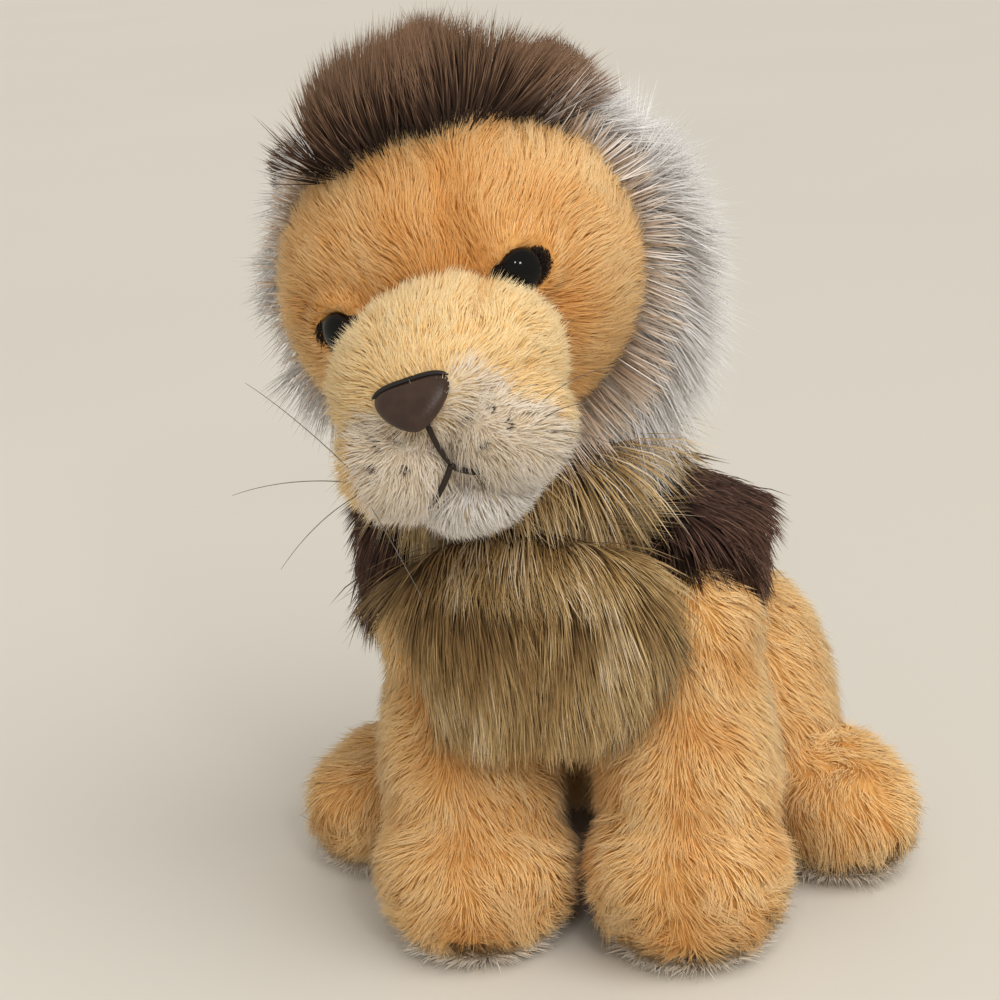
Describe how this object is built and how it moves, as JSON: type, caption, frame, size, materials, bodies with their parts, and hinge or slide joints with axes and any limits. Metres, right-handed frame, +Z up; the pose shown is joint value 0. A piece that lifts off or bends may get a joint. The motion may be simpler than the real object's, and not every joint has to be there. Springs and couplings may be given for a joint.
{
  "type": "plush lion",
  "caption": "Sitting stuffed lion with a long-pile mane, a head that turns, tilts and nods, swinging legs and a tail.",
  "frame": {"origin": "middle of the flat patch under the rump, on the floor", "axes": "+Z up, the toy faces -Y, +X is the toy's own left"},
  "size_m": [0.2006, 0.2569, 0.2783],
  "materials": {
    "golden_plush": "short golden pile",
    "cap_plush": "short pale golden pile",
    "cream_plush": "short cream pile",
    "grey_cream_plush": "short pale pile",
    "tan_mane": "long tan-brown pile",
    "dark_mane": "long dark brown pile",
    "pale_mane": "long pile, brown at the root and white at the tip",
    "leatherette": "satin",
    "eye_plastic": "gloss",
    "washer_plastic": "matte",
    "thread": "sewing thread",
    "whisker_filament": "clear filament"
  },
  "bodies": {
    "body": {"torso": "golden_plush", "chest_mane": "tan_mane", "shoulder_mane_left": "dark_mane", "shoulder_mane_right": "dark_mane", "back_mane": "dark_mane"},
    "collar": {"collar_mane": "tan_mane"},
    "neck": {"neck": "golden_plush"},
    "head": {"head": "golden_plush", "muzzle": "cap_plush", "muzzle_pad_left": "cream_plush", "muzzle_pad_right": "cream_plush", "chin": "grey_cream_plush", "nose": "leatherette", "mouth_stitch": "thread", "eye_left": "eye_plastic", "eye_right": "eye_plastic", "eye_washer_left": "washer_plastic", "eye_washer_right": "washer_plastic", "ear_left": "golden_plush", "ear_right": "golden_plush", "crest": "dark_mane", "ruff_left": "pale_mane", "ruff_right": "pale_mane", "nape_mane": "dark_mane", "whisker_left_1": "whisker_filament", "whisker_left_2": "whisker_filament", "whisker_left_3": "whisker_filament", "whisker_right_1": "whisker_filament", "whisker_right_2": "whisker_filament", "whisker_right_3": "whisker_filament", "whisker_right_4": "whisker_filament"},
    "foreleg_left": {"foreleg_left": "golden_plush", "forepaw_sole_left": "grey_cream_plush"},
    "foreleg_right": {"foreleg_right": "golden_plush", "forepaw_sole_right": "grey_cream_plush"},
    "hindleg_left": {"hindleg_left": "golden_plush", "hindpaw_sole_left": "grey_cream_plush"},
    "hindleg_right": {"hindleg_right": "golden_plush", "hindpaw_sole_right": "grey_cream_plush"},
    "tail": {"tail": "golden_plush", "tail_tuft": "dark_mane"}
  },
  "joints": [
    {"name": "head_tilt", "type": "hinge", "parent": "body", "child": "collar", "pos_m": [-0.016, -0.066, 0.154], "axis": [0, 1, 0], "range_deg": [-5, 10], "stiffness_Nm_per_rad": 1.2},
    {"name": "head_turn", "type": "hinge", "parent": "collar", "child": "neck", "pos_m": [-0.016, -0.066, 0.154], "axis": [0, 0, 1], "range_deg": [-20, 20], "stiffness_Nm_per_rad": 1.2},
    {"name": "head_nod", "type": "hinge", "parent": "neck", "child": "head", "pos_m": [-0.016, -0.066, 0.154], "axis": [1, 0, 0], "range_deg": [-8, 8], "stiffness_Nm_per_rad": 1.2},
    {"name": "foreleg_left_swing", "type": "hinge", "parent": "body", "child": "foreleg_left", "pos_m": [0.032, -0.08, 0.097], "axis": [1, 0, 0], "range_deg": [-12, 5], "stiffness_Nm_per_rad": 1.2},
    {"name": "foreleg_right_swing", "type": "hinge", "parent": "body", "child": "foreleg_right", "pos_m": [-0.038, -0.08, 0.097], "axis": [1, 0, 0], "range_deg": [-12, 5], "stiffness_Nm_per_rad": 1.2},
    {"name": "hindleg_left_swing", "type": "hinge", "parent": "body", "child": "hindleg_left", "pos_m": [0.038, -0.02, 0.048], "axis": [1, 0, 0], "range_deg": [-8, 8], "stiffness_Nm_per_rad": 1.2},
    {"name": "hindleg_right_swing", "type": "hinge", "parent": "body", "child": "hindleg_right", "pos_m": [-0.038, -0.02, 0.048], "axis": [1, 0, 0], "range_deg": [-8, 8], "stiffness_Nm_per_rad": 1.2},
    {"name": "tail_swing", "type": "hinge", "parent": "body", "child": "tail", "pos_m": [0, 0.042, 0.032], "axis": [0, 0, 1], "range_deg": [-35, 5], "stiffness_Nm_per_rad": 0.2}
  ]
}
